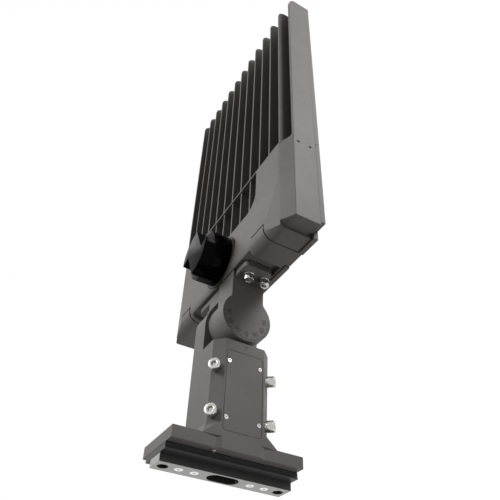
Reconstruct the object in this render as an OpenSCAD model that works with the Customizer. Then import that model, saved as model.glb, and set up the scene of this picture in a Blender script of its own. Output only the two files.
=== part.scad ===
// Shoebox area light on a tilting pole arm.
// Origin: centre of the face that meets the pole. +X runs out along the arm to the head's tip,
// +Z is up in use (fins and twist-lock cap above, lens below), -Y is the side with the wiring cover.

/* [Pole mount] */
// Thickness of the bar that meets the pole
bar_t = 8.4; // [6:0.1:12]
// Width of that bar
bar_w = 24; // [22:0.5:40]
// Length of the bar and of the arm's flange
mount_l = 150; // [140:1:180]
// Thickness of the grooved adapter rail
rail_t = 6.2; // [5:0.1:10]
// Width of the adapter rail
rail_w = 48.6; // [44:0.2:60]
// Thickness of the flange gasket
flange_gasket_t = 1; // [0.8:0.1:2]
// Diameter of the two pole bolt holes
pole_hole_d = 11.5; // [9:0.1:13]
// Distance between the two pole bolt holes
pole_hole_pitch = 132; // [124:1:134]
// Length of the wire slot, end to end
wire_slot_l = 35; // [26:0.5:38]
// Width of the wire slot
wire_slot_w = 19; // [10:0.5:20]

/* [Arm] */
// Width of the arm across the cover plate's face
arm_w = 75.6; // [72:0.2:84]
// Height of the arm
arm_h = 71.6; // [70:0.2:80]
// Chamfer along the arm's corners
arm_chamfer = 11.2; // [8:0.1:14]
// Distance from the pole face to the arm's top
arm_top = 140; // [132:1:160]
// Thickness of the arm's flange
flange_t = 12.5; // [8:0.1:16]
// Width of the arm's flange
flange_w = 71.8; // [66:0.2:75]
// Diameter of the hollow inside the arm
tenon_d = 62; // [56:0.5:63]
// Distance from the flange to the hollow's upper end
tenon_depth = 104; // [98:1:108]
// Diameter of the clamp bolts
clamp_d = 8; // [6:0.1:8.4]

/* [Wiring cover] */
// Length of the cover plate
cover_l = 92; // [86:0.5:96]
// Width of the cover plate
cover_w = 45; // [42:0.5:47]
// Thickness of the cover plate
cover_t = 2.4; // [1.6:0.1:3]
// Thickness of the cover's gasket
cover_gasket_t = 1; // [0.6:0.1:1.5]
// Gap round the cover plate
cover_gap = 0.4; // [0.3:0.1:0.8]

/* [Knuckle] */
// Distance from the pole face to the tilt axis
pivot_x = 177; // [176:0.5:180]
// Radius of the bracket's drum
drum_r = 32; // [30:0.2:34]
// Diameter of the tilt bolt
tilt_bolt_d = 16; // [12:0.1:18]
// Running clearance round the tilt bolt, on the radius
running_clear = 0.06; // [0.03:0.01:0.1]
// Gap between the drum and the arm's ear
knuckle_gap = 0.4; // [0.3:0.1:1]
// Width of the bracket's neck
neck_w = 43; // [38:0.5:46]
// Length of the bracket's foot across the head
foot_l = 128; // [122:1:134]
// Thickness of the bracket's foot
foot_t = 8; // [6:0.2:10]
// Distance between the bracket bolts across the head
foot_bolt_span = 97; // [96:0.5:104]
// Distance between the bracket bolts through the head's height
foot_bolt_rise = 21; // [19:0.5:23]

/* [Head] */
// Distance from the pole face to the head's end wall
head_x = 234; // [231:0.5:240]
// Length of the driver compartment
bay_l = 150; // [140:1:170]
// Length from the end wall to the head's tip
head_l = 542; // [480:1:620]
// Width of the head
head_w = 320; // [312:1:330]
// Height of the fins' tops over the arm's axis
back_z = 19; // [18:0.1:23]
// Height of the compartment's back over the arm's axis at the end wall
crown_z = 24.4; // [23.4:0.1:26]
// Height of the side walls over the arm's axis
side_z = 10; // [7:0.1:12]
// Depth of the parting plane under the arm's axis
parting_z = 24; // [22:0.1:27]
// Thickness of the door and of the lens frame
front_t = 6; // [5:0.1:8]
// Wall of the housing
wall = 4; // [3:0.1:5]
// Radius of the housing's top edge at the end wall
end_r = 15; // [8:0.5:16]

/* [Fins] */
// Number of fins
fin_n = 12; // [8:2:14]
// Distance between fins
fin_pitch = 25.4; // [20:0.1:25.6]
// Thickness of a fin at its tip
fin_tip_t = 2.6; // [2:0.1:4]
// Thickness of a fin at its root
fin_root_t = 4.2; // [3:0.1:6]
// Thickness of the plate under the fins
base_t = 6; // [5:0.1:8]
// Depth of the space for the LED boards
led_depth = 7; // [6:0.1:8]
// Radius of the fins' upper corner at the tip of the head
fin_corner_r = 14; // [6:0.5:18]

/* [Latches and door] */
// Distance of each latch's middle from the head's middle
latch_y = 99; // [97:0.5:104]
// Width of a latch
latch_w = 27.2; // [24:0.1:29]
// Thickness of a latch
latch_t = 3.4; // [2.6:0.1:4]
// Diameter of the latch pins
latch_pin_d = 4; // [3:0.1:5]
// Diameter of the door's hinge pins
hinge_pin_d = 3; // [2:0.1:3.4]
// Gap round moving parts
move_gap = 0.4; // [0.3:0.05:0.8]

/* [Twist-lock cap] */
// Distance from the pole face to the cap's axis
cap_x = 278; // [277:0.5:281]
// Radius of the cap's skirt
cap_r = 36; // [34:0.2:37]
// Radius of the cap's body over its skirt
cap_body_r = 34; // [32.4:0.2:35]
// Height of the cap
cap_h = 37.5; // [32:0.5:42]
// Height of the grip over the body's shoulder
grip_h = 12; // [8:0.5:13]
// Width of the grip
grip_w = 40; // [30:0.5:44]
// Height of the receptacle's collar under the cap
collar_h = 5; // [4:0.1:8]

/* [Hidden] */
$fn = 64;
eps = 0.01;

// ---- Pole mount, derived ----
rail_x = bar_t;
gasket_x = rail_x + rail_t;
flange_x = gasket_x + flange_gasket_t;
shank_x = flange_x + flange_t;
bar_screw_z = [32, 49];
bar_screw_r = 2.5;
bar_head_r = 4.6;
bar_head_h = 3;
bar_head_x = 0.1;
groove_depth = 0.6;
lip_t = 2;
lock_screw_pos = [flange_x, -flange_w / 2 + 6.4, 26.5];
lock_screw_r = 1.5;

// ---- Arm, derived ----
arm_y = arm_w / 2;
arm_z = arm_h / 2;
skirt_h = 14;
floor_t = 6;
pad_z = arm_z - 7.8;
skirt_out = 7.5;
clamp_x = [shank_x + 24, arm_top - 36];
clamp_face = (arm_y + arm_z - arm_chamfer) / sqrt(2);
clamp_washer_t = 2;
clamp_head_r = clamp_d * 0.81;
clamp_head_h = clamp_d;
clamp_tip = tenon_d / 2 + 0.5;
cover_x = shank_x + 52.5;
cover_sx = cover_l / 2 - 13.5;
cover_sy = cover_w / 2 - 3.2;
cover_depth = cover_t + cover_gasket_t;
cover_corner = 4;
cover_screw_r = 1.5;
cover_head_r = 2.4;
hatch_l = cover_l - 38;
hatch_w = cover_w - 18;

// ---- Knuckle, derived ----
ear_r = arm_z;
bolt_r = tilt_bolt_d / 2;
drum_face = -arm_y;
ear_bolt_seat = arm_y - 9.5;
tilt_washer_t = 2.4;
tilt_head_h = 8;
tilt_head_r = bolt_r * 1.6;
seal_r = 27.5;
seal_wire_r = 1.4;
seal_proud = 0.15;
chamber_r0 = bolt_r + 4;
chamber_r1 = 24;
chamber_depth = 15;
neck_fillet = 8;
foot_x = head_x - 2;
foot_back = foot_x + foot_t;
foot_gasket_t = 1.2;
recess_x = foot_back + foot_gasket_t;
foot_z0 = -20;
foot_z1 = back_z - 1;
foot_mid_z = -5;
foot_bolt_r = 4;
foot_bolt_head_h = 8;
foot_washer_t = 1.6;
recess_w = 156;

// ---- Head, derived ----
door_z = -parting_z - front_t;
bay_x = head_x + bay_l;
tip_x = head_x + head_l;
half_w = head_w / 2;
shoulder_y = fin_pitch * (fin_n - 1) / 2;
rail_end_x = head_x + 6;
fin_end_x = tip_x - 31;
board_z = -parting_z + led_depth;
root_z = board_z + base_t;
tip_r = 28;
corner_r = 9;
scoop_x = bay_x - 66;
scoop_y = 82;
scoop_r = 13;
scoop_floor = back_z - scoop_r;
bay_wall_x = recess_x + wall;
bay_y = shoulder_y - wall - 6;
bay_top = back_z - 5;
bay_low_top = scoop_floor - wall;
seam_x = bay_x + 3;
side_hole_x = bay_x - 10;

// ---- Latches and door, derived ----
latch_skin = 0.6;
pivot_in = end_r - latch_skin;
latch_px = head_x + pivot_in;
latch_pz = crown_z - pivot_in;
latch_top_x = head_x + 19;
latch_gap = 2 * move_gap;
latch_pocket_r = sqrt(pow(latch_top_x - latch_px, 2) + pow(crown_z + latch_skin - latch_pz, 2)) + 0.3;
latch_block_z = latch_pz - latch_pocket_r - wall;
hinge_x = seam_x - move_gap - front_t / 2;
hinge_z = -parting_z - front_t / 2;
lug_w = 8;
lug_y = 108;
hinge_pin_l = 24;
door_step_y = shoulder_y + 5;
door_step_x = head_x + 11;
door_skin = 2.4;

// ---- Lens, derived ----
window_x0 = seam_x + 20;
window_x1 = tip_x - 18;
window_y = half_w - 18;
lens_t = 3;
lens_edge = 7;
lens_gasket_h = 1;
lens_z = -parting_z - lens_t + 0.2;

// ---- Cap, derived ----
cap_z = back_z + collar_h + 0.3;
blade_sink = 2;
cap_wall = 2.4;
core_r = 22;
core_h = 12;
blade_r = 13;
blade_t = 1.6;
blade_arc = 34;
twist_arc = 30;
skirt_rim_h = 7;

// Extrudes an outline given in (Y, Z) along +X.
module along_x(x0, len) {
    translate([x0, 0, 0]) rotate([90, 0, 90]) linear_extrude(len) children();
}

// Extrudes an outline given in (X, Z) along Y, from y0 to y1.
module along_y(y0, y1) {
    translate([0, y1, 0]) rotate([90, 0, 0]) linear_extrude(y1 - y0) children();
}

// A round bar along X.
module rod_x(x0, len, r, y = 0, z = 0) {
    translate([x0, y, z]) rotate([0, 90, 0]) cylinder(h = len, r = r);
}

// A round bar along Y.
module rod_y(y0, len, r, x = 0, z = 0) {
    translate([x, y0, z]) rotate([-90, 0, 0]) cylinder(h = len, r = r);
}

// A rectangle centred on the origin with round corners.
module round_rect(a, b, r) {
    union() {
        square([a - 2 * r, b], center = true);
        square([a, b - 2 * r], center = true);
        for (sx = [-1, 1], sy = [-1, 1])
            translate([sx * (a / 2 - r), sy * (b / 2 - r)]) circle(r);
    }
}

// A slot outline along Z with round ends, in (Y, Z).
module slot_outline(l, w) {
    union() {
        square([w, l - w], center = true);
        for (s = [-1, 1]) translate([0, s * (l - w) / 2]) circle(w / 2);
    }
}

module pole_holes(x0, len) {
    for (s = [-1, 1]) rod_x(x0, len, pole_hole_d / 2, 0, s * pole_hole_pitch / 2);
}

// A socket-head screw standing on z = 0: head above, shank below, hexagon socket in the head.
module cap_screw(head_r, head_h, shank_r, shank_l, socket_r) {
    difference() {
        union() {
            cylinder(h = head_h, r = head_r);
            translate([0, 0, -shank_l]) cylinder(h = shank_l + eps, r = shank_r);
        }
        translate([0, 0, head_h * 0.45]) cylinder(h = head_h, r = socket_r, $fn = 6);
    }
}

// ---------------------------------------------------------------- pole mount

module pole_bar() {
    color("silver") difference() {
        translate([0, -bar_w / 2, -mount_l / 2]) cube([bar_t, bar_w, mount_l]);
        along_x(-1, bar_t + 2) slot_outline(wire_slot_l, wire_slot_w);
        pole_holes(-1, bar_t + 2);
        for (s = [-1, 1], z = bar_screw_z) {
            rod_x(-1, bar_t + 2, bar_screw_r, 0, s * z);
            rod_x(-1, 1 + bar_head_x + bar_head_h, bar_head_r + 0.2, 0, s * z);
        }
    }
}

module bar_screws() {
    color("white") for (s = [-1, 1], z = bar_screw_z)
        translate([bar_head_x + bar_head_h, 0, s * z]) rotate([0, -90, 0])
            cap_screw(bar_head_r, bar_head_h, bar_screw_r - 0.05, bar_t + rail_t - bar_head_h - 1.4, 1.8);
}

// One side of the rail's section, from the flange side to the lip: fine grooves, then the lip.
function rail_side(y) = [
    [gasket_x, y],
    for (i = [0:2]) each [
        [gasket_x - 0.5 - i * 1.2, y], [gasket_x - 0.8 - i * 1.2, y - groove_depth],
        [gasket_x - 1.1 - i * 1.2, y]
    ],
    [rail_x + lip_t, y], [rail_x + lip_t * 0.6, y + 0.7], [rail_x, y + 0.7]
];

module adapter_rail() {
    side = rail_side(rail_w / 2);
    far = [for (i = [len(side) - 1:-1:0]) [side[i][0], -side[i][1]]];
    color("dimgray") difference() {
        translate([0, 0, -mount_l / 2 - 0.4]) linear_extrude(mount_l + 0.8) polygon(concat(side, far));
        along_x(rail_x - 1, rail_t + 2) slot_outline(wire_slot_l, wire_slot_w);
        pole_holes(rail_x - 1, rail_t + 2);
        for (s = [-1, 1], z = bar_screw_z) rod_x(rail_x - 1, rail_t, bar_screw_r, 0, s * z);
    }
}

module flange_gasket() {
    color("black") difference() {
        translate([gasket_x, -rail_w / 2, -mount_l / 2])
            cube([flange_gasket_t, rail_w, mount_l]);
        along_x(gasket_x - 1, 3) slot_outline(wire_slot_l, wire_slot_w);
        pole_holes(gasket_x - 1, flange_gasket_t + 2);
    }
}

// ---------------------------------------------------------------- arm

// Section of the arm: a rectangle with chamfered corners, in (Y, Z).
module arm_outline(c) {
    polygon([
        [-arm_y, -arm_z + c], [-arm_y, arm_z - c], [-arm_y + c, arm_z], [arm_y - c, arm_z],
        [arm_y, arm_z - c], [arm_y, -arm_z + c], [arm_y - c, -arm_z], [-arm_y + c, -arm_z]
    ]);
}

// The ear beyond the arm's top, seen along Y: a full round end on the arm's width.
module ear_outline() {
    union() {
        translate([arm_top - 8, -arm_z]) square([pivot_x - arm_top + 8, arm_h]);
        translate([pivot_x, 0]) circle(ear_r, $fn = 96);
    }
}

module arm_solid() {
    union() {
        // flange, with the pad under the cover plate standing slightly proud of it
        translate([flange_x, -flange_w / 2, -mount_l / 2]) cube([flange_t, flange_w, mount_l]);
        along_x(flange_x, flange_t + 1) polygon([
            [0, -pad_z], [-flange_w / 2, -pad_z], [-arm_y, 6 - pad_z],
            [-arm_y, pad_z - 6], [-flange_w / 2, pad_z], [0, pad_z]
        ]);
        // sloping shoulder into the shank
        hull() {
            along_x(shank_x - 0.5, 0.5) polygon([
                [-arm_y, 3.4 - pad_z], [-flange_w / 2, 1 - pad_z],
                [-flange_w / 2, -arm_z - skirt_out], [flange_w / 2, -arm_z - skirt_out],
                [flange_w / 2, arm_z + skirt_out], [-flange_w / 2, arm_z + skirt_out],
                [-flange_w / 2, pad_z - 1], [-arm_y, pad_z - 3.4]
            ]);
            along_x(shank_x + skirt_h, 0.5) arm_outline(arm_chamfer);
        }
        along_x(shank_x, arm_top - shank_x) arm_outline(arm_chamfer);
        // ear on the far half, its outer edge chamfered as the shank is
        intersection() {
            along_y(0, arm_y) ear_outline();
            along_x(arm_top - 10, pivot_x + ear_r - arm_top + 20) arm_outline(arm_chamfer);
        }
    }
}

module clamp_axis(x, s) {
    translate([x, 0, 0]) rotate([s * 45 + 90, 0, 0]) children();
}

module arm_body() {
    color("dimgray") difference() {
        arm_solid();
        // slot through the flange, the arm's hollow and the wire way up into the ear
        along_x(flange_x - 1, floor_t + 2) slot_outline(wire_slot_l, wire_slot_w);
        rod_x(flange_x + floor_t, tenon_depth - floor_t, tenon_d / 2);
        rod_x(flange_x + tenon_depth - 1, pivot_x - 17 - flange_x - tenon_depth + 7, 8, 14);
        rod_y(-1, 15, 6, pivot_x - 17);
        // wiring hatch behind the cover plate
        translate([cover_x, -arm_y + cover_depth, 0]) rotate([90, 0, 0])
            linear_extrude(cover_depth + 1)
                round_rect(cover_l + 2 * cover_gap, cover_w + 2 * cover_gap, cover_corner);
        translate([cover_x, -tenon_d / 2 + 8, 0]) rotate([90, 0, 0])
            linear_extrude(12 + cover_depth) round_rect(hatch_l, hatch_w, 5);
        for (sx = [-1, 1], sz = [-1, 1])
            rod_y(-arm_y, cover_depth + 6, cover_screw_r, cover_x + sx * cover_sx, sz * cover_sy);
        // threaded holes of the clamp bolts
        for (x = clamp_x, s = [-1, 1]) clamp_axis(x, s) cylinder(h = clamp_face + 3, r = clamp_d / 2);
        pole_holes(flange_x - 1, flange_t + 2);
        translate(lock_screw_pos) rotate([0, 90, 0]) cylinder(h = 8, r = lock_screw_r);
        // tilt bolt: running bore and the seat for its washer and head
        rod_y(-1, arm_w, bolt_r + running_clear, pivot_x);
        rod_y(ear_bolt_seat, arm_y, tilt_head_r + 2.4, pivot_x);
        // groove of the knuckle's seal
        translate([pivot_x, -1, 0]) rotate([-90, 0, 0]) difference() {
            cylinder(h = 1 + 2 * seal_wire_r - seal_proud, r = seal_r + seal_wire_r + 0.1);
            translate([0, 0, -1]) cylinder(h = 6, r = seal_r - seal_wire_r - 0.1);
        }
        // index mark over the cover plate
        for (s = [-1, 1]) translate([arm_top - 7, -arm_y - 1, s * 1.3 - 0.4]) cube([4.5, 1.4, 0.8]);
    }
}

module lock_screw() {
    color("white") translate(lock_screw_pos) rotate([0, -90, 0])
        cap_screw(2.8, 2, lock_screw_r, 7.5, 1.2);
}

module cover_plate_holes(r) {
    for (sx = [-1, 1], sz = [-1, 1])
        rod_y(-arm_y - 1, 8, r, cover_x + sx * cover_sx, sz * cover_sy);
}

module wiring_cover() {
    color("dimgray") difference() {
        translate([cover_x, -arm_y + cover_t, 0]) rotate([90, 0, 0])
            linear_extrude(cover_t) round_rect(cover_l, cover_w, cover_corner - cover_gap);
        cover_plate_holes(cover_screw_r);
        translate([0, -0.8, 0]) rod_y_holes(cover_head_r + 0.1, 1.6);
    }
}

// Shallow seats for the cover screws' heads.
module rod_y_holes(r, h) {
    for (sx = [-1, 1], sz = [-1, 1])
        rod_y(-arm_y, h, r, cover_x + sx * cover_sx, sz * cover_sy);
}

module cover_gasket() {
    color("black") difference() {
        translate([cover_x, -arm_y + cover_depth, 0]) rotate([90, 0, 0])
            linear_extrude(cover_gasket_t) round_rect(cover_l, cover_w, cover_corner - cover_gap);
        translate([cover_x, 0, 0]) rotate([90, 0, 0]) linear_extrude(arm_w)
            round_rect(hatch_l, hatch_w, 5);
        cover_plate_holes(cover_screw_r);
    }
}

module cover_screws() {
    color("white") for (sx = [-1, 1], sz = [-1, 1])
        translate([cover_x + sx * cover_sx, -arm_y + 0.8, sz * cover_sy]) rotate([90, 0, 0])
            cap_screw(cover_head_r, 1.2, cover_screw_r, cover_depth + 3, 1.1);
}

module clamp_bolts() {
    color("white") for (x = clamp_x, s = [-1, 1]) clamp_axis(x, s)
        translate([0, 0, clamp_face + clamp_washer_t])
            cap_screw(clamp_head_r, clamp_head_h, clamp_d / 2 - 0.05,
                clamp_face + clamp_washer_t - clamp_tip, clamp_d * 0.43);
}

module clamp_washers() {
    color("white") for (x = clamp_x, s = [-1, 1]) clamp_axis(x, s)
        translate([0, 0, clamp_face]) difference() {
            cylinder(h = clamp_washer_t, r = clamp_head_r - 0.5);
            translate([0, 0, -1]) cylinder(h = 5, r = clamp_d / 2);
        }
}

// ---------------------------------------------------------------- knuckle

// The bracket's slab seen along Y: drum and neck, with a hollow fillet where they meet.
module bracket_outline() {
    fx = sqrt(pow(drum_r + neck_fillet, 2) - pow(neck_w / 2 + neck_fillet, 2));
    union() {
        translate([pivot_x, 0]) circle(drum_r, $fn = 96);
        translate([pivot_x, -neck_w / 2]) square([foot_back - pivot_x, neck_w]);
        for (s = [-1, 1]) translate([pivot_x, 0]) difference() {
            polygon([
                [drum_r * 0.4, s * neck_w / 4], [fx, s * neck_w / 4], [fx, s * neck_w / 2],
                [fx * drum_r / (drum_r + neck_fillet),
                    s * (neck_w / 2 + neck_fillet) * drum_r / (drum_r + neck_fillet)]
            ]);
            translate([fx, s * (neck_w / 2 + neck_fillet)]) circle(neck_fillet, $fn = 48);
        }
    }
}

module foot_outline() {
    translate([0, (foot_z0 + foot_z1) / 2]) round_rect(foot_l, foot_z1 - foot_z0, 6);
}

module bracket_bolt_places() {
    for (sy = [-1, 1], sz = [-1, 1])
        translate([0, sy * foot_bolt_span / 2, foot_mid_z + sz * foot_bolt_rise / 2]) children();
}

module head_bracket() {
    face = -knuckle_gap;
    color("dimgray") difference() {
        union() {
            along_y(drum_face, face) bracket_outline();
            along_x(foot_x, foot_t) foot_outline();
            // far half of the neck, kept clear of the ear
            intersection() {
                along_y(face - 1, arm_y - 4) translate([pivot_x, -neck_w / 2])
                    square([foot_back - pivot_x, neck_w]);
                translate([foot_x - 13, -arm_y, foot_z0]) cube([13 + foot_t, arm_w, foot_z1 - foot_z0]);
            }
        }
        // threaded bore of the tilt bolt, wire chamber round it and wire way to the head
        rod_y(drum_face + 9, arm_y, bolt_r, pivot_x);
        translate([pivot_x, face - chamber_depth, 0]) rotate([-90, 0, 0]) difference() {
            cylinder(h = chamber_depth + 1, r = chamber_r1);
            translate([0, 0, -1]) cylinder(h = chamber_depth + 3, r = chamber_r0);
        }
        rod_x(pivot_x + chamber_r0 + 4, 60, 6.5, face - 8);
        bracket_bolt_places() rod_x(foot_x - 14, foot_t + 20, foot_bolt_r + 0.3);
    }
}

module knuckle_seal() {
    color("black") translate([pivot_x, seal_wire_r - seal_proud, 0]) rotate([90, 0, 0])
        rotate_extrude($fn = 64) translate([seal_r, 0]) circle(seal_wire_r, $fn = 24);
}

module tilt_bolt() {
    l = ear_bolt_seat + tilt_washer_t + 0.3 - drum_face - 11;
    color("silver") translate([pivot_x, ear_bolt_seat + tilt_washer_t + 0.3, 0]) rotate([-90, 0, 0])
        difference() {
            union() {
                cylinder(h = tilt_head_h, r = tilt_head_r, $fn = 6);
                translate([0, 0, -l]) cylinder(h = l + eps, r = bolt_r);
            }
            translate([0, 0, tilt_head_h - 0.6]) cylinder(h = 1, r = tilt_head_r * 0.6);
        }
}

module tilt_washer() {
    color("silver") translate([pivot_x, ear_bolt_seat + 0.3, 0]) rotate([-90, 0, 0]) difference() {
        cylinder(h = tilt_washer_t, r = tilt_head_r + 1.4);
        translate([0, 0, -1]) cylinder(h = 5, r = bolt_r);
    }
}

module bracket_bolts() {
    color("white") bracket_bolt_places() translate([foot_x - foot_washer_t, 0, 0]) rotate([0, -90, 0])
        cap_screw(foot_bolt_r * 1.62, foot_bolt_head_h, foot_bolt_r - 0.25,
            foot_washer_t + foot_t + foot_gasket_t + 10, 3.4);
}

module bracket_washers() {
    color("white") bracket_bolt_places() translate([foot_x - foot_washer_t, 0, 0]) rotate([0, 90, 0])
        difference() {
            cylinder(h = foot_washer_t, r = foot_bolt_r * 1.62 + 0.5);
            translate([0, 0, -1]) cylinder(h = 4, r = foot_bolt_r - 0.2);
        }
}

module bracket_gasket() {
    color("black") difference() {
        along_x(foot_back, foot_gasket_t) foot_outline();
        rod_x(foot_back - 1, 4, 12, -8);
        bracket_bolt_places() rod_x(foot_back - 1, 4, foot_bolt_r + 0.3);
    }
}

// ---------------------------------------------------------------- housing

// Section of the housing across the head, in (Y, Z): flat back, sloping shoulders, upright sides.
module head_section() {
    b = shoulder_y - fin_pitch;
    polygon([
        [-half_w, -parting_z], [-half_w, side_z], [-shoulder_y, back_z - 0.8], [-b, crown_z],
        [b, crown_z], [shoulder_y, back_z - 0.8], [half_w, side_z], [half_w, -parting_z]
    ]);
}

// The compartment's back falls gently from the crown behind the end wall to the fins' height.
slope_x0 = head_x + end_r + 4;
slope_x1 = scoop_x - 2;
function back_at(x) = x <= slope_x0 ? crown_z
    : x >= slope_x1 ? back_z : crown_z + (back_z - crown_z) * (x - slope_x0) / (slope_x1 - slope_x0);

// Side view of the compartment's middle, in (X, Z), with the round edge over the end wall,
// from x0 to x1 and standing off by up from the housing's own surface.
module bay_side(x0, x1, up, r) {
    top = crown_z + up;
    difference() {
        polygon([
            [x0, -parting_z], [x1, -parting_z], [x1, back_at(x1) + up],
            if (x1 > slope_x1) [slope_x1, back_z + up],
            if (x1 > slope_x0) [slope_x0, top],
            [x0, top]
        ]);
        translate([x0, top - r]) difference() {
            translate([-1, 0]) square([r + 1, r + 1]);
            translate([r, 0]) circle(r, $fn = 64);
        }
    }
}

// Side view of a side wall, in (X, Z), with its long round end at the head's tip.
module side_wall_view() {
    difference() {
        translate([bay_x - 1, -parting_z]) square([tip_x - bay_x + 1, side_z + parting_z]);
        translate([tip_x - tip_r, side_z - tip_r]) difference() {
            square(tip_r + 1);
            circle(tip_r, $fn = 64);
        }
    }
}

module fin_view() {
    difference() {
        translate([bay_x - 2, root_z - 1]) square([fin_end_x - bay_x + 2, back_z - root_z + 0.7]);
        translate([fin_end_x - fin_corner_r, back_z - fin_corner_r - 0.3]) difference() {
            square(fin_corner_r + 1);
            circle(fin_corner_r, $fn = 48);
        }
    }
}

module fin(y) {
    rt = fin_root_t / 2;
    tt = fin_tip_t / 2;
    translate([0, y, 0]) intersection() {
        along_x(bay_x - 2, fin_end_x - bay_x + 2)
            polygon([[-rt, root_z - 1], [-tt, back_z], [tt, back_z], [rt, root_z - 1]]);
        along_y(-rt, rt) fin_view();
    }
}

module fins() {
    for (i = [0:fin_n - 1]) fin((i - (fin_n - 1) / 2) * fin_pitch);
}

// Air scoop in the compartment's back: a rounded pocket with a ramp, ribbed in line with the fins.
module scoop_pocket() {
    intersection() {
        translate([0, 0, scoop_floor]) linear_extrude(scoop_r + 1) union() {
            translate([(scoop_x + bay_x - 2.4) / 2, 0])
                round_rect(bay_x - 2.4 - scoop_x, 2 * scoop_y, 24);
            translate([bay_x - 30, -scoop_y]) square([27.6, 2 * scoop_y]);
        }
        along_y(-scoop_y - 1, scoop_y + 1) difference() {
            translate([scoop_x, scoop_floor]) square([bay_x - scoop_x, scoop_r + 1]);
            translate([scoop_x, scoop_floor]) difference() {
                square(scoop_r);
                translate([scoop_r, scoop_r]) circle(scoop_r, $fn = 48);
            }
        }
    }
}

module scoop_ribs() {
    n = floor((scoop_y - fin_root_t) / fin_pitch - 0.5);
    for (i = [-n - 1:n])
        translate([scoop_x - 1, (i + 0.5) * fin_pitch - fin_tip_t / 2, scoop_floor - 1])
            cube([bay_x - scoop_x, fin_tip_t, scoop_r - 0.6]);
}

module latch_channel(s) {
    w = latch_w + 2 * latch_gap;
    d = latch_t + move_gap;
    translate([0, s * latch_y - w / 2, 0]) {
        // channel down the end wall, round the edge and over the back
        along_y(0, w) difference() {
            translate([head_x - 1, -parting_z - 1]) square([latch_top_x - head_x + 1, crown_z + parting_z + 2]);
            bay_side(head_x + d, head_x + 60, -d, end_r - d);
        }
        // round pocket that the latch's short end swings through
        rod_y(0, w, latch_pocket_r, latch_px, latch_pz);
    }
}

module bay_outer() {
    intersection() {
        union() {
            along_y(-shoulder_y, shoulder_y) bay_side(head_x, bay_x, 0, end_r);
            along_y(-half_w, half_w) bay_side(rail_end_x, bay_x, 0, end_r + 3);
        }
        along_x(head_x - 1, bay_l + 1) head_section();
    }
}

module bay_hollow() {
    // deep part by the end wall, shallow part under the scoop
    translate([bay_wall_x, -bay_y, -parting_z - 1])
        cube([scoop_x - 4 - bay_wall_x, 2 * bay_y, bay_top + parting_z + 1]);
    translate([bay_wall_x, -bay_y, -parting_z - 1])
        cube([bay_x - 9 - bay_wall_x, 2 * bay_y, bay_low_top + parting_z + 1]);
}

// Blocks inside the compartment that back each latch channel and its pin.
module latch_blocks() {
    for (s = [-1, 1])
        translate([head_x + 5, s * latch_y - latch_w / 2 - 7, latch_block_z])
            cube([latch_pocket_r + pivot_in - 2, latch_w + 14, back_z - latch_block_z - 1]);
}

module door_lugs() {
    for (s = [-1, 1]) translate([0, s * lug_y - lug_w / 2, 0]) difference() {
        translate([hinge_x - front_t / 2, 0, -parting_z - front_t / 2])
            cube([front_t - 0.2, lug_w, front_t / 2 + 1]);
    }
    for (s = [-1, 1]) rod_y(s * lug_y - lug_w / 2, lug_w, front_t / 2, hinge_x, hinge_z);
}

module lens_pocket() {
    // seat of the lens and its gasket
    translate([window_x0 - lens_edge - 0.5, -window_y - lens_edge - 0.5, -parting_z - 1])
        cube([
            window_x1 - window_x0 + 2 * lens_edge + 1, 2 * (window_y + lens_edge) + 1,
            1 + lens_z + lens_t + lens_gasket_h + parting_z
        ]);
    // space for the boards over the window
    translate([window_x0, -window_y, -parting_z - 1])
        cube([window_x1 - window_x0, 2 * window_y, led_depth + 1]);
}

module frame_screw_places() {
    for (x = [seam_x + 7, (seam_x + tip_x) / 2, tip_x - 7], s = [-1, 1])
        translate([x, s * (half_w - 6), 0]) children();
}

module board_places() {
    w = (window_x1 - window_x0 - 12) / 2;
    for (i = [0, 1]) translate([window_x0 + 3 + i * (w + 6), 0, 0]) children();
}

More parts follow.
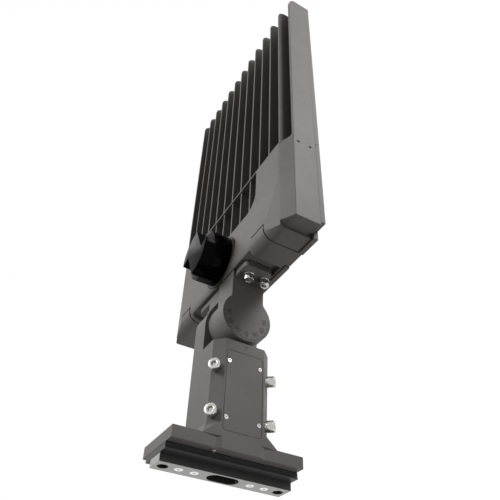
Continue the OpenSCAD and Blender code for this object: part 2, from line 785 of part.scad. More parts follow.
module housing() {
    w = latch_w + 2 * latch_gap;
    color("dimgray") difference() {
        intersection() {
          union() {
            difference() {
                bay_outer();
                bay_hollow();
                difference() {
                    scoop_pocket();
                    scoop_ribs();
                }
            }
            latch_blocks_inside();
            // collar under the twist-lock receptacle
            translate([cap_x, 0, back_z - 1]) cylinder(h = 2.6, r = cap_r + 2);
            // plate, side walls and far end of the finned part
            translate([bay_x - 1, -half_w, -parting_z])
                cube([tip_x - bay_x - 3, head_w, root_z + parting_z]);
            for (s = [-1, 1]) along_y(s > 0 ? half_w - wall : -half_w, s > 0 ? half_w : -half_w + wall)
                side_wall_view();
            translate([tip_x - 5, -half_w, -parting_z]) cube([5, head_w, root_z + parting_z]);
            fins();
            // screw columns in the outer channels
            for (s = [-1, 1]) translate([bay_x + 9, s * (half_w - wall - 5), root_z - 1])
                cylinder(h = side_z - root_z - 2, r = 4);
            door_lugs();
          }
          translate([(tip_x + head_x) / 2 - 50, 0, -60]) linear_extrude(120)
              round_rect(head_l + 100, head_w, corner_r);
        }
        for (s = [-1, 1]) latch_channel(s);
        // recess for the bracket's foot, open at the back
        translate([head_x - 1, -recess_w / 2, foot_z0 - 1.5])
            cube([recess_x - head_x + 1, recess_w, crown_z - foot_z0 + 3]);
        rod_x(recess_x - 1, wall + 2, 11, -8);
        bracket_bolt_places() rod_x(recess_x - 1, 12, foot_bolt_r - 0.2);
        for (s = [-1, 1]) rod_y(s * latch_y - w / 2 - 5.5, w + 11, latch_pin_d / 2, latch_px, latch_pz);
        for (s = [-1, 1]) rod_y(s * lug_y - hinge_pin_l / 2, hinge_pin_l, hinge_pin_d / 2, hinge_x, hinge_z);
        lens_pocket();
        frame_screw_places() translate([0, 0, -parting_z - 1]) cylinder(h = 9, r = 1.8);
        // blind holes in the sides
        for (s = [-1, 1], z = [3, -15]) rod_y(s * half_w - 12, 24, 1.8, side_hole_x, z);
        // round seat of the twist-lock receptacle
        translate([cap_x, 0, back_z + 1.6]) cylinder(h = 12, r = cap_r + 1.2);
        // wires: receptacle, LED space
        translate([cap_x, 0, 0]) cylinder(h = back_z + 5, r = 20);
        rod_x(bay_x - 10, 30, 2.4, 60, board_z - 3.6);
        receptacle_screw_places() translate([0, 0, back_z - 4.5]) cylinder(h = 9, r = 1.6);
        for (p = driver_screw_xy) translate([p[0], p[1], bay_low_top - 1]) cylinder(h = 4, r = 1.6);
        for (p = block_screw_xy) translate([p[0], p[1], bay_top - 1]) cylinder(h = 4, r = 1.6);
        board_screw_places() translate([0, 0, board_z - 1]) cylinder(h = 5, r = 1.4);
    }
}

module latch_blocks_inside() {
    intersection() {
        latch_blocks();
        along_y(-half_w, half_w) bay_side(head_x + 1, bay_x, 0, end_r);
    }
}

// ---------------------------------------------------------------- lens and LEDs

module lens_frame() {
    color("dimgray") difference() {
        intersection() {
            translate([seam_x, -half_w, door_z]) cube([tip_x - seam_x, head_w, front_t]);
            translate([(tip_x + head_x) / 2, 0, door_z - 1]) linear_extrude(front_t + 2)
                round_rect(head_l, head_w, corner_r);
        }
        translate([window_x0, -window_y, door_z - 1])
            cube([window_x1 - window_x0, 2 * window_y, front_t + 2]);
        translate([window_x0 - lens_edge - 0.3, -window_y - lens_edge - 0.3, lens_z])
            cube([window_x1 - window_x0 + 2 * lens_edge + 0.6, 2 * (window_y + lens_edge + 0.3), 10]);
        frame_screw_places() translate([0, 0, door_z - 1]) cylinder(h = front_t + 2, r = 1.9);
        frame_screw_places() translate([0, 0, door_z - 1]) cylinder(h = 2.6, r = 3.7);
        // room for the door's hinge lugs
        for (s = [-1, 1]) translate([seam_x - 1, s * lug_y - lug_w / 2 - 9, door_z - 1])
            cube([1.4, lug_w + 18, front_t + 2]);
    }
}

module lens() {
    color("lightblue", 0.5) translate([window_x0 - lens_edge, -window_y - lens_edge, lens_z])
        cube([window_x1 - window_x0 + 2 * lens_edge, 2 * (window_y + lens_edge), lens_t]);
}

module lens_gasket() {
    z = lens_z + lens_t;
    color("black") difference() {
        translate([window_x0 - lens_edge, -window_y - lens_edge, z])
            cube([window_x1 - window_x0 + 2 * lens_edge, 2 * (window_y + lens_edge), lens_gasket_h]);
        translate([window_x0, -window_y, z - 1])
            cube([window_x1 - window_x0, 2 * window_y, lens_gasket_h + 2]);
    }
}

module frame_screws() {
    color("white") frame_screw_places() translate([0, 0, door_z + 1.6]) rotate([180, 0, 0])
        cap_screw(3.5, 1.4, 1.8, front_t - 1.6 + 6, 1.5);
}

module led_boards() {
    w = (window_x1 - window_x0 - 12) / 2;
    color("white") difference() {
        board_places() translate([0, -window_y + 4, board_z - 1.6]) cube([w, 2 * window_y - 8, 1.6]);
        board_screw_places() translate([0, 0, board_z - 3]) cylinder(h = 5, r = 1.4);
    }
}

module board_screw_places() {
    w = (window_x1 - window_x0 - 12) / 2;
    for (u = [8, w - 8], s = [-1, 1]) board_places() translate([u, s * (window_y - 12), 0]) children();
}

module leds() {
    w = (window_x1 - window_x0 - 12) / 2;
    color("yellow") for (i = [0:4], j = [-4:4]) board_places()
        translate([w * (i + 0.5) / 5 - 1.75, j * 28 - 1.75, board_z - 1.6 - 1.2]) cube([3.5, 3.5, 1.2]);
}

module board_screws() {
    color("silver") board_screw_places() translate([0, 0, board_z - 1.6]) rotate([180, 0, 0])
        cap_screw(2.6, 1.6, 1.4, 5, 1);
}

// ---------------------------------------------------------------- door and latches

module door_outline() {
    difference() {
        union() {
            translate([head_x - 2, -door_step_y]) square([hinge_x - head_x + 2, 2 * door_step_y]);
            translate([door_step_x, -half_w]) square([hinge_x - door_step_x, head_w]);
        }
        for (s = [-1, 1]) translate([head_x - 3, s * latch_y - latch_w / 2 - latch_gap])
            square([2.6 + latch_t + move_gap, latch_w + 2 * latch_gap]);
    }
}

module driver_door() {
    color("dimgray") difference() {
        union() {
            translate([0, 0, door_z]) linear_extrude(front_t) door_outline();
            rod_y(-half_w, head_w, front_t / 2, hinge_x, hinge_z);
        }
        // hollow inside of the door, with the rim that carries the gasket left standing
        translate([bay_wall_x + 6, -bay_y + 6, door_z + door_skin])
            cube([hinge_x - bay_wall_x - 26, 2 * bay_y - 12, front_t]);
        for (s = [-1, 1]) {
            rod_y(s * lug_y - hinge_pin_l / 2 - 0.2, hinge_pin_l + 0.4,
                hinge_pin_d / 2 + running_clear, hinge_x, hinge_z);
            translate([hinge_x - front_t / 2 - 1.2, s * lug_y - lug_w / 2 - move_gap, door_z - 1])
                cube([front_t + 3, lug_w + 2 * move_gap, front_t + 2]);
        }
        // clearance under the housing's lower edge at the hinge
        translate([hinge_x - 4, -half_w - 1, -parting_z - 0.3]) cube([9, head_w + 2, 1]);
    }
}

module door_gasket() {
    color("black") difference() {
        translate([bay_wall_x + 1, -bay_y + 1, -parting_z])
            cube([hinge_x - bay_wall_x - 16, 2 * bay_y - 2, 1]);
        translate([bay_wall_x + 5, -bay_y + 5, -parting_z - 1])
            cube([hinge_x - bay_wall_x - 24, 2 * bay_y - 10, 4]);
    }
}

module hinge_pins() {
    color("silver") for (s = [-1, 1])
        rod_y(s * lug_y - hinge_pin_l / 2, hinge_pin_l, hinge_pin_d / 2, hinge_x, hinge_z);
}

// Side view of a latch, in (X, Z): a skin that follows the housing's edge, with a lug for its pin.
module latch_view() {
    bottom = door_z + 0.6;
    difference() {
        union() {
            difference() {
                bay_side(head_x - latch_skin, latch_top_x, latch_skin, end_r);
                bay_side(head_x - latch_skin + latch_t, head_x + 60, latch_skin - latch_t, end_r - latch_t);
            }
            translate([head_x - latch_skin, bottom]) square([latch_t, -parting_z - bottom + 1]);
            translate([latch_px, latch_pz]) circle(5.4);
            translate([latch_px - 5.4, latch_pz])
                square([latch_top_x - latch_px + 5.4, crown_z - latch_pz - 1]);
        }
        translate([latch_px, latch_pz]) circle(latch_pin_d / 2 + running_clear);
    }
}

module latch(s) {
    difference() {
        along_y(s * latch_y - latch_w / 2, s * latch_y + latch_w / 2) latch_view();
    }
}

module latch_near() {
    color("gray") latch(-1);
}

module latch_far() {
    color("gray") latch(1);
}

module latch_pins() {
    color("silver") for (s = [-1, 1])
        rod_y(s * latch_y - latch_w / 2 - 5.5, latch_w + 11, latch_pin_d / 2, latch_px, latch_pz);
}

// ---------------------------------------------------------------- inside the compartment

driver_l = 200;
driver_w = 50;
driver_h = 20;
driver_x = scoop_x + 2;
driver_screw_xy = [for (s = [-1, 1]) [driver_x + driver_w / 2, s * (driver_l / 2 + 6)]];
block_x = scoop_x - 26;
block_screw_xy = [for (y = [-78, -52, 44, 66]) [block_x, y]];

module led_driver() {
    color("lightgray") difference() {
        union() {
            translate([driver_x, -driver_l / 2, bay_low_top - driver_h]) cube([driver_w, driver_l, driver_h]);
            translate([driver_x + 8, -driver_l / 2 - 12, bay_low_top - 2])
                cube([driver_w - 16, driver_l + 24, 2]);
        }
        for (p = driver_screw_xy) translate([p[0], p[1], bay_low_top - 5]) cylinder(h = 9, r = 1.6);
    }
}

module driver_screws() {
    color("silver") for (p = driver_screw_xy) translate([p[0], p[1], bay_low_top - 2]) rotate([180, 0, 0])
        cap_screw(3, 2, 1.6, 4.6, 1.2);
}

module surge_protector() {
    color("black") difference() {
        union() {
            translate([block_x - 14, 36, bay_top - 24]) cube([28, 38, 24]);
        }
        for (p = block_screw_xy) translate([p[0], p[1], bay_top - 30]) cylinder(h = 40, r = 1.6);
    }
}

module terminal_block() {
    color("white") difference() {
        translate([block_x - 10, -84, bay_top - 14]) cube([20, 38, 14]);
        for (p = block_screw_xy) translate([p[0], p[1], bay_top - 30]) cylinder(h = 40, r = 1.6);
        for (y = [-74, -65, -56]) translate([block_x - 7, y - 2.4, bay_top - 15]) cube([14, 4.8, 4]);
    }
}

module block_screws() {
    color("silver") {
        for (p = block_screw_xy) if (p[1] < 0)
            translate([p[0], p[1], bay_top - 14]) rotate([180, 0, 0]) cap_screw(2.8, 2, 1.6, 16.6, 1.2);
        for (p = block_screw_xy) if (p[1] > 0)
            translate([p[0], p[1], bay_top - 24]) rotate([180, 0, 0]) cap_screw(2.8, 2, 1.6, 26.6, 1.2);
    }
}

// ---------------------------------------------------------------- twist-lock cap

module receptacle_screw_places() {
    for (a = [60, 180, 300]) translate([cap_x, 0, 0]) rotate([0, 0, a]) translate([27.5, 0, 0]) children();
}

// A curved wall about the cap's axis, from angle a0 over the arc.
module arc_wall(r, t, a0, arc, h) {
    rotate([0, 0, a0]) rotate_extrude(angle = arc, $fn = 64) translate([r - t / 2, 0]) square([t, h]);
}

module cap_receptacle() {
    z0 = back_z + 1.6 + 1;
    color("black") difference() {
        union() {
            translate([cap_x, 0, z0]) cylinder(h = collar_h - 2.6, r = cap_r + 0.6);
            translate([cap_x, 0, z0]) cylinder(h = collar_h - 2.6 + core_h, r = core_r);
            translate([cap_x, 0, back_z - 9]) cylinder(h = 12, r = 19.6);
        }
        for (a = [0, 120, 240]) translate([cap_x, 0, z0 + collar_h - 8])
            arc_wall(blade_r, blade_t + 1.2, a - 3, blade_arc + twist_arc + 6, 30);
        receptacle_screw_places() translate([0, 0, z0 - 1]) cylinder(h = 9, r = 1.7);
    }
}

module receptacle_gasket() {
    color("dimgray") difference() {
        translate([cap_x, 0, back_z + 1.6]) cylinder(h = 1, r = cap_r);
        translate([cap_x, 0, back_z]) cylinder(h = 4, r = 21);
        receptacle_screw_places() translate([0, 0, back_z]) cylinder(h = 9, r = 1.7);
    }
}

module receptacle_screws() {
    color("silver") receptacle_screw_places() translate([0, 0, back_z + collar_h])
        cap_screw(2.8, 1.6, 1.6, 9, 1.1);
}

// Top of the cap's grip: a bar on the cap's middle with skewed sides.
module grip_outline() {
    w = grip_w / 2;
    l = cap_body_r;
    polygon([
        [4 - l, 0], [10 - l, 2 - w], [w, -w], [l - 1, -4],
        [l - 4, 0], [l - 10, w - 2], [-w, w], [1 - l, 4]
    ]);
}

// Finger hollows that cut a step into two sides of the grip.
module grip_steps() {
    w = grip_w / 2;
    for (a = [0, 180]) rotate([0, 0, a]) polygon([
        [0.5, -cap_r], [0.5, -w - 1], [8, 3 - w], [cap_r + 1, -4], [cap_r + 1, -cap_r]
    ]);
}

module shorting_cap() {
    color("black") translate([cap_x, 0, cap_z]) difference() {
        union() {
            cylinder(h = skirt_rim_h, r = cap_r);
            hull() {
                translate([0, 0, skirt_rim_h - 1]) cylinder(h = 1, r = cap_body_r, $fn = 72);
                translate([0, 0, cap_h - 0.1]) linear_extrude(0.1) grip_outline();
            }
            // locating rib that marks the lock's side
            translate([-cap_body_r - 0.2, -0.9, 2]) cube([8, 1.8, cap_h - 2]);
        }
        translate([0, 0, cap_h - grip_h]) linear_extrude(grip_h + 1) grip_steps();
        translate([0, 0, -1]) cylinder(h = core_h + 3.6, r = cap_body_r * 0.75);
        translate([0, 0, -1]) cylinder(h = 6, r = cap_r - cap_wall);
        for (a = [0, 120, 240]) arc_wall(blade_r, blade_t, a, blade_arc, core_h + 2.6 + blade_sink);
    }
}

module cap_blades() {
    color("gold") translate([cap_x, 0, cap_z]) for (a = [0, 120, 240])
        translate([0, 0, 3]) arc_wall(blade_r, blade_t, a, blade_arc, core_h + blade_sink - 0.4);
}

pole_bar();
bar_screws();
adapter_rail();
flange_gasket();
arm_body();
lock_screw();
wiring_cover();
cover_gasket();
cover_screws();
clamp_bolts();
clamp_washers();
head_bracket();
knuckle_seal();
tilt_bolt();
tilt_washer();
bracket_bolts();
bracket_washers();
bracket_gasket();
housing();
lens_frame();
lens();
lens_gasket();
frame_screws();
led_boards();
leds();
board_screws();
driver_door();
door_gasket();
hinge_pins();
latch_near();
latch_far();
latch_pins();
led_driver();
driver_screws();
surge_protector();
terminal_block();
block_screws();
cap_receptacle();
receptacle_gasket();
receptacle_screws();
shorting_cap();
cap_blades();
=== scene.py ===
"""Studio scene of a pole-mounted shoebox area light with a finned, die-cast head.

The CAD solids are the frame. This script dresses each of them in the finish of the real
piece and adds what the solids leave out: rounded socket screws, the round body of the cap,
the knuckle's tilt scale and the silicone domes of the LEDs. Lengths in the classes are
millimetres in the row's own frame.
"""
import logging
import math
from dataclasses import dataclass
from enum import Enum

import bpy
from mathutils import Euler, Matrix, Vector


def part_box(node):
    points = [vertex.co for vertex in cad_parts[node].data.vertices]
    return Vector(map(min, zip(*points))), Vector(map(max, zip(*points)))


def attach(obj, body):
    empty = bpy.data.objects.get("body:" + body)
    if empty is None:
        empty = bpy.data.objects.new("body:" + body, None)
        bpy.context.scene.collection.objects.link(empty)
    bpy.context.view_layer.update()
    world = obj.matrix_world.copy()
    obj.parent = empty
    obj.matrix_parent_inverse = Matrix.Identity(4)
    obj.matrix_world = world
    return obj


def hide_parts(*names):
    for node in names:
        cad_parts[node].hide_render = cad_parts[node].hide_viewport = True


log = logging.getLogger("area_light")
MM = 0.001


class Body(Enum):
    """The rigid bodies that the new pieces ride on."""

    ARM = "arm"
    HEAD = "head"
    CAP = "cap"


class Grain(Enum):
    """How a metal's surface was worked, which sets the direction of its fine lines."""

    NONE = (1.0, 1.0, 1.0)
    ALONG_X = (0.04, 1.0, 1.0)
    ALONG_Z = (1.0, 1.0, 0.04)


# ------------------------------------------------------------------ materials


def linear(code: str) -> tuple[float, float, float, float]:
    """Turns an sRGB hex value into Blender's linear colour.

    Args:
        code: Six hex digits, such as "7c7a77".

    Returns:
        Red, green, blue and an alpha of 1.
    """
    parts = [int(code[i:i + 2], 16) / 255 for i in (0, 2, 4)]
    values = [c / 12.92 if c <= 0.04045 else ((c + 0.055) / 1.055) ** 2.4 for c in parts]
    return (values[0], values[1], values[2], 1.0)


def add_node(tree: bpy.types.NodeTree, kind: str, settings: dict | None = None,
             links: dict | None = None) -> bpy.types.Node:
    """Adds one node with its settings and incoming links.

    Args:
        tree: The node tree.
        kind: The node's type, such as "ShaderNodeTexNoise".
        settings: Values by socket name, or by attribute name where no such socket exists.
        links: Output sockets by the name of the input that they feed.

    Returns:
        The new node.
    """
    node = tree.nodes.new(kind)
    for key, value in (settings or {}).items():
        if key in node.inputs:
            node.inputs[key].default_value = value
        else:
            setattr(node, key, value)
    for key, source in (links or {}).items():
        tree.links.new(source, node.inputs[key])
    return node


def start_material(
        name: str) -> tuple[bpy.types.Material, bpy.types.NodeTree, bpy.types.Node]:
    """Makes an empty node material.

    Args:
        name: The material's name.

    Returns:
        The material, its node tree and its output node.
    """
    material = bpy.data.materials.new(name)
    material.use_nodes = True
    tree = material.node_tree
    tree.nodes.clear()
    return material, tree, add_node(tree, "ShaderNodeOutputMaterial")


def backdrop_share(tree: bpy.types.NodeTree,
                   path: bpy.types.Node) -> bpy.types.NodeSocket:
    """Tells where the backdrop is seen as itself: straight on, mirrored or through glass.

    Args:
        tree: The node tree.
        path: Its Light Path node.

    Returns:
        A socket that is 1 for such rays and 0 for light that falls on the object.
    """
    straight = add_node(tree, "ShaderNodeMath", {"operation": "MAXIMUM"})
    tree.links.new(path.outputs["Is Camera Ray"], straight.inputs[0])
    tree.links.new(path.outputs["Is Transmission Ray"], straight.inputs[1])
    either = add_node(tree, "ShaderNodeMath", {"operation": "MAXIMUM"})
    tree.links.new(straight.outputs["Value"], either.inputs[0])
    tree.links.new(path.outputs["Is Glossy Ray"], either.inputs[1])
    return either.outputs["Value"]


def set_ramp(node: bpy.types.Node, low: tuple, high: tuple, start: float = 0.3,
             end: float = 0.7) -> None:
    """Sets a colour ramp's two ends.

    Args:
        node: The ramp.
        low: Colour at the start.
        high: Colour at the end.
        start: Place of the first stop.
        end: Place of the last stop.
    """
    first, last = node.color_ramp.elements[0], node.color_ramp.elements[1]
    first.position, last.position = start, end
    first.color, last.color = low, high


@dataclass(frozen=True)
class PowderCoat:
    """Polyester powder coat, sprayed and baked on cast aluminium.

    It gives an even satin grey with a very fine orange peel, slightly darker where the
    powder lay thinner, and soft broad highlights.
    """

    name: str = "powder_coat_on_cast_aluminium"
    light: str = "6a6866"
    dark: str = "605e5c"
    roughness: float = 0.5
    sheen: float = 0.3
    # Orange peel of about 0.8 mm; drawn at 1.1 mm so that close views show it.
    peel: float = 1.1
    peel_depth: float = 0.06
    # Patches of thicker and thinner powder, nine to the metre, so about 110 mm wide.
    patches: float = 9.0
    # Rounding of the casting's edges under the coat.
    edge: float = 0.6

    def build(self) -> bpy.types.Material:
        """Builds the material.

        Returns:
            The finished material.
        """
        material, tree, out = start_material(self.name)
        place = add_node(tree, "ShaderNodeTexCoord")
        drift = add_node(tree, "ShaderNodeTexNoise",
                         {"Scale": self.patches, "Detail": 3.0, "Roughness": 0.55},
                         {"Vector": place.outputs["Object"]})
        tone = add_node(tree, "ShaderNodeValToRGB", links={"Fac": drift.outputs["Fac"]})
        set_ramp(tone, linear(self.dark), linear(self.light), 0.32, 0.68)
        speck = add_node(tree, "ShaderNodeTexNoise",
                         {"Scale": 1 / (self.peel * MM), "Detail": 2.0},
                         {"Vector": place.outputs["Object"]})
        gloss = add_node(tree, "ShaderNodeMapRange", {
            "From Min": 0.3, "From Max": 0.7, "To Min": self.roughness - 0.04,
            "To Max": self.roughness + 0.05}, {"Value": speck.outputs["Fac"]})
        edge = add_node(tree, "ShaderNodeBevel", {"Radius": self.edge * MM, "samples": 6})
        bump = add_node(tree, "ShaderNodeBump",
                        {"Strength": 0.16, "Distance": self.peel_depth * MM},
                        {"Height": speck.outputs["Fac"], "Normal": edge.outputs["Normal"]})
        coat = add_node(tree, "ShaderNodeBsdfPrincipled",
                        {"IOR": 1.5, "Specular IOR Level": self.sheen},
                        {"Base Color": tone.outputs["Color"],
                         "Roughness": gloss.outputs["Result"],
                         "Normal": bump.outputs["Normal"]})
        tree.links.new(coat.outputs["BSDF"], out.inputs["Surface"])
        return material


@dataclass(frozen=True)
class WorkedMetal:
    """Bare metal with the fine lines of drawing, turning or brushing.

    It gives mirror-like bands softened along the lines, and slight changes of gloss.
    """

    name: str
    light: str
    dark: str
    roughness: float
    grain: Grain = Grain.NONE
    # Width of a tool mark; real ones are near 0.05 mm, drawn as coarse as they need to show.
    mark: float = 0.35
    mark_depth: float = 0.04
    metallic: float = 1.0
    edge: float = 0.3

    def build(self) -> bpy.types.Material:
        """Builds the material.

        Returns:
            The finished material.
        """
        material, tree, out = start_material(self.name)
        place = add_node(tree, "ShaderNodeTexCoord")
        turn = add_node(tree, "ShaderNodeMapping", {"Scale": self.grain.value},
                        {"Vector": place.outputs["Object"]})
        marks = add_node(tree, "ShaderNodeTexNoise",
                         {"Scale": 1 / (self.mark * MM), "Detail": 3.0},
                         {"Vector": turn.outputs["Vector"]})
        tone = add_node(tree, "ShaderNodeValToRGB", links={"Fac": marks.outputs["Fac"]})
        set_ramp(tone, linear(self.dark), linear(self.light))
        gloss = add_node(tree, "ShaderNodeMapRange", {
            "From Min": 0.3, "From Max": 0.7, "To Min": self.roughness * 0.8,
            "To Max": self.roughness * 1.25}, {"Value": marks.outputs["Fac"]})
        edge = add_node(tree, "ShaderNodeBevel", {"Radius": self.edge * MM, "samples": 6})
        bump = add_node(tree, "ShaderNodeBump",
                        {"Strength": 0.12, "Distance": self.mark_depth * MM},
                        {"Height": marks.outputs["Fac"], "Normal": edge.outputs["Normal"]})
        metal = add_node(tree, "ShaderNodeBsdfPrincipled", {"Metallic": self.metallic}, {
            "Base Color": tone.outputs["Color"], "Roughness": gloss.outputs["Result"],
            "Normal": bump.outputs["Normal"]})
        tree.links.new(metal.outputs["BSDF"], out.inputs["Surface"])
        return material


@dataclass(frozen=True)
class Moulding:
    """Injection-moulded plastic or rubber.

    It gives an even body colour, a mould's faint sparkle in the gloss and soft edges.
    """

    name: str
    colour: str
    shade: str
    roughness: float
    # Size of the mould's spark-eroded texture; near 0.1 mm, drawn as coarse as it needs to show.
    texture: float = 0.9
    depth: float = 0.05
    edge: float = 0.5
    ior: float = 1.5
    sheen: float = 0.5
    # Clouds of colour from the flow in the mould, thirty to the metre, so about 33 mm wide.
    clouds: float = 30.0

    def build(self) -> bpy.types.Material:
        """Builds the material.

        Returns:
            The finished material.
        """
        material, tree, out = start_material(self.name)
        place = add_node(tree, "ShaderNodeTexCoord")
        grit = add_node(tree, "ShaderNodeTexNoise",
                        {"Scale": 1 / (self.texture * MM), "Detail": 2.0},
                        {"Vector": place.outputs["Object"]})
        flow = add_node(tree, "ShaderNodeTexNoise", {"Scale": self.clouds, "Detail": 2.0},
                        {"Vector": place.outputs["Object"]})
        tone = add_node(tree, "ShaderNodeValToRGB", links={"Fac": flow.outputs["Fac"]})
        set_ramp(tone, linear(self.shade), linear(self.colour))
        gloss = add_node(tree, "ShaderNodeMapRange", {
            "From Min": 0.3, "From Max": 0.7, "To Min": self.roughness * 0.88,
            "To Max": self.roughness * 1.12}, {"Value": grit.outputs["Fac"]})
        edge = add_node(tree, "ShaderNodeBevel", {"Radius": self.edge * MM, "samples": 6})
        bump = add_node(tree, "ShaderNodeBump", {"Strength": 0.1, "Distance": self.depth * MM},
                        {"Height": grit.outputs["Fac"], "Normal": edge.outputs["Normal"]})
        body = add_node(tree, "ShaderNodeBsdfPrincipled",
                        {"IOR": self.ior, "Specular IOR Level": self.sheen},
                        {"Base Color": tone.outputs["Color"],
                         "Roughness": gloss.outputs["Result"],
                         "Normal": bump.outputs["Normal"]})
        tree.links.new(body.outputs["BSDF"], out.inputs["Surface"])
        return material


@dataclass(frozen=True)
class FloatGlass:
    """Tempered float glass of the lens: clear, faintly green, with a fire-polished face."""

    name: str = "tempered_float_glass"
    tint: str = "eef4f1"
    # Waves of the float bath, fourteen to the metre, so about 70 mm wide.
    waves: float = 14.0
    wave_depth: float = 0.5

    def build(self) -> bpy.types.Material:
        """Builds the material.

        Returns:
            The finished material.
        """
        material, tree, out = start_material(self.name)
        place = add_node(tree, "ShaderNodeTexCoord")
        wave = add_node(tree, "ShaderNodeTexNoise", {"Scale": self.waves, "Detail": 1.0},
                        {"Vector": place.outputs["Object"]})
        bump = add_node(tree, "ShaderNodeBump",
                        {"Strength": 0.04, "Distance": self.wave_depth * MM},
                        {"Height": wave.outputs["Fac"]})
        glass = add_node(tree, "ShaderNodeBsdfPrincipled", {
            "Base Color": linear(self.tint), "Roughness": 0.03, "IOR": 1.5,
            "Transmission Weight": 1.0}, {"Normal": bump.outputs["Normal"]})
        clear = add_node(tree, "ShaderNodeBsdfTransparent", {"Color": linear(self.tint)})
        path = add_node(tree, "ShaderNodeLightPath")
        # Shadow rays pass straight through, so the boards behind the glass are lit.
        mix = add_node(tree, "ShaderNodeMixShader", links={"Fac": path.outputs["Is Shadow Ray"]})
        tree.links.new(glass.outputs["BSDF"], mix.inputs[1])
        tree.links.new(clear.outputs["BSDF"], mix.inputs[2])
        tree.links.new(mix.outputs["Shader"], out.inputs["Surface"])
        return material


class Finishes:
    """All materials of the light, built once and shared."""

    def __init__(self) -> None:
        """Builds every material."""
        self.coat = PowderCoat().build()
        # The housing's die leaves rounder edges than the arm's.
        self.housing_coat = PowderCoat("powder_coat_on_die_cast_housing", edge=1.6).build()
        # Milled and sawn faces: pale grey, with lines along the cut.
        self.bar = WorkedMetal("mill_finish_aluminium_bar", "a2a2a0", "8a8a88", 0.42,
                               Grain.ALONG_Z).build()
        # Cold-headed screws: bright bands with dark ones between.
        self.steel = WorkedMetal("passivated_stainless_steel", "c8c6c2", "aaa8a4", 0.2).build()
        # The bar's screws: nearly white.
        self.zinc = WorkedMetal("bright_zinc_plated_steel", "f2f2f0", "e2e2e0", 0.25).build()
        # Extruded rail: near black, with faint lines along it. On the bar's long sides the same
        # near black is painted shade.
        self.rail = WorkedMetal("dark_anodising_and_painted_shade", "343332", "2a2928", 0.45,
                                Grain.ALONG_Z, metallic=0.35).build()
        # Seals: flat black that hardly mirrors.
        self.rubber = Moulding("epdm_rubber", "1b1b1b", "131313", 0.75, 0.7, 0.08,
                               sheen=0.2).build()
        # The cap: deep black and smooth; its index is low so that pale surroundings stay faint.
        self.cap = Moulding("uv_stable_polycarbonate_black", "0a0a0a", "070707", 0.14, 1.2, 0.02,
                            0.4, ior=1.09).build()
        # Receptacle and surge protector: satin black with a fine mould grain.
        self.nylon_black = Moulding("glass_filled_nylon_black", "1d1d1e", "151516", 0.5).build()
        # Terminal block: warm white, slightly waxy.
        self.nylon_white = Moulding("polyamide_white", "dcdad2", "d2d0c8", 0.45).build()
        # Light boards: even white solder-mask print with a soft gloss.
        self.mask = Moulding("white_solder_mask", "e6e8e6", "dadcda", 0.4, 0.5, 0.02, 0.1).build()
        # Emitters and their domes: amber yellow, wet-looking.
        self.silicone = Moulding("phosphor_silicone", "e9c34a", "dfb53c", 0.3, 0.6, 0.02, 0.2,
                                 1.41).build()
        # Driver case: cool grey sheet with lines along it.
        self.case = WorkedMetal("zinc_plated_sheet_steel", "b9bcbf", "a3a6a9", 0.36,
                                Grain.ALONG_X).build()
        # Cap blades: dull yellow metal.
        self.brass = WorkedMetal("tinned_brass", "cdb27a", "b89c62", 0.3).build()
        # Dial marks: flat dark colour, painted shade that stands in for the shadow inside
        # engraved marks.
        self.ink = Moulding("dial_marks_painted_shade", "141313", "100f0f", 0.6, 0.6, 0.05, 0.1).build()
        self.glass = FloatGlass().build()


# ------------------------------------------------------------------ modelling helpers


def deselect() -> None:
    """Leaves object mode with nothing selected."""
    if bpy.context.object and bpy.context.object.mode != "OBJECT":
        bpy.ops.object.mode_set(mode="OBJECT")
    bpy.ops.object.select_all(action="DESELECT")


def current() -> bpy.types.Object:
    """Returns the active object."""
    return bpy.context.view_layer.objects.active


def activate(obj: bpy.types.Object) -> None:
    """Makes obj the only selected and the active object."""
    deselect()
    obj.select_set(True)
    bpy.context.view_layer.objects.active = obj


def settle(obj: bpy.types.Object) -> None:
    """Applies obj's place, turn and scale, so its place is in its mesh."""
    activate(obj)
    bpy.ops.object.transform_apply(location=True, rotation=True, scale=True)


def apply_modifier(obj: bpy.types.Object, kind: str, **settings: object) -> None:
    """Adds a modifier, sets it and applies it.

    Args:
        obj: The object.
        kind: The modifier's type.
        settings: Its attributes.
    """
    activate(obj)
    modifier = obj.modifiers.new(kind.lower(), kind)
    for key, value in settings.items():
        setattr(modifier, key, value)
    bpy.ops.object.modifier_apply(modifier=modifier.name)


def round_edges(obj: bpy.types.Object, width: float, segments: int, angle: float) -> None:
    """Rounds or chamfers the sharp edges of obj.

    Args:
        obj: The object.
        width: Width of the rounding.
        segments: Its number of faces; 1 gives a chamfer.
        angle: Edges that turn by more than this many degrees are rounded.
    """
    apply_modifier(obj, "BEVEL", width=width * MM, segments=segments, limit_method="ANGLE",
                   angle_limit=math.radians(angle))


def smooth(obj: bpy.types.Object, angle: float) -> None:
    """Smooths obj's shading where its faces turn by less than angle, in degrees."""
    activate(obj)
    bpy.ops.object.shade_smooth_by_angle(angle=math.radians(angle))


def join(parts: list[bpy.types.Object], name: str) -> bpy.types.Object:
    """Joins meshes into one.

    Args:
        parts: The objects, each of which ends in the result.
        name: The result's name.

    Returns:
        The joined object.
    """
    for part in parts:
        settle(part)
    deselect()
    for part in parts:
        part.select_set(True)
    bpy.context.view_layer.objects.active = parts[0]
    if len(parts) > 1:
        bpy.ops.object.join()
    obj = current()
    obj.name = name
    obj.data.name = name
    return obj


def copy_at(source: bpy.types.Object, matrix: Matrix) -> bpy.types.Object:
    """Copies an object with its own mesh to a new place.

    Args:
        source: The object to copy; its own place is in its mesh.
        matrix: The copy's place.

    Returns:
        The copy.
    """
    twin = source.copy()
    twin.data = source.data.copy()
    twin.matrix_world = matrix
    bpy.context.collection.objects.link(twin)
    return twin


def dress(material: bpy.types.Material, *nodes: str) -> None:
    """Gives CAD nodes their material.

    Args:
        material: The finish.
        nodes: Names of the nodes.
    """
    for node in nodes:
        obj = bpy.data.objects[node]
        obj.data.materials.clear()
        obj.data.materials.append(material)


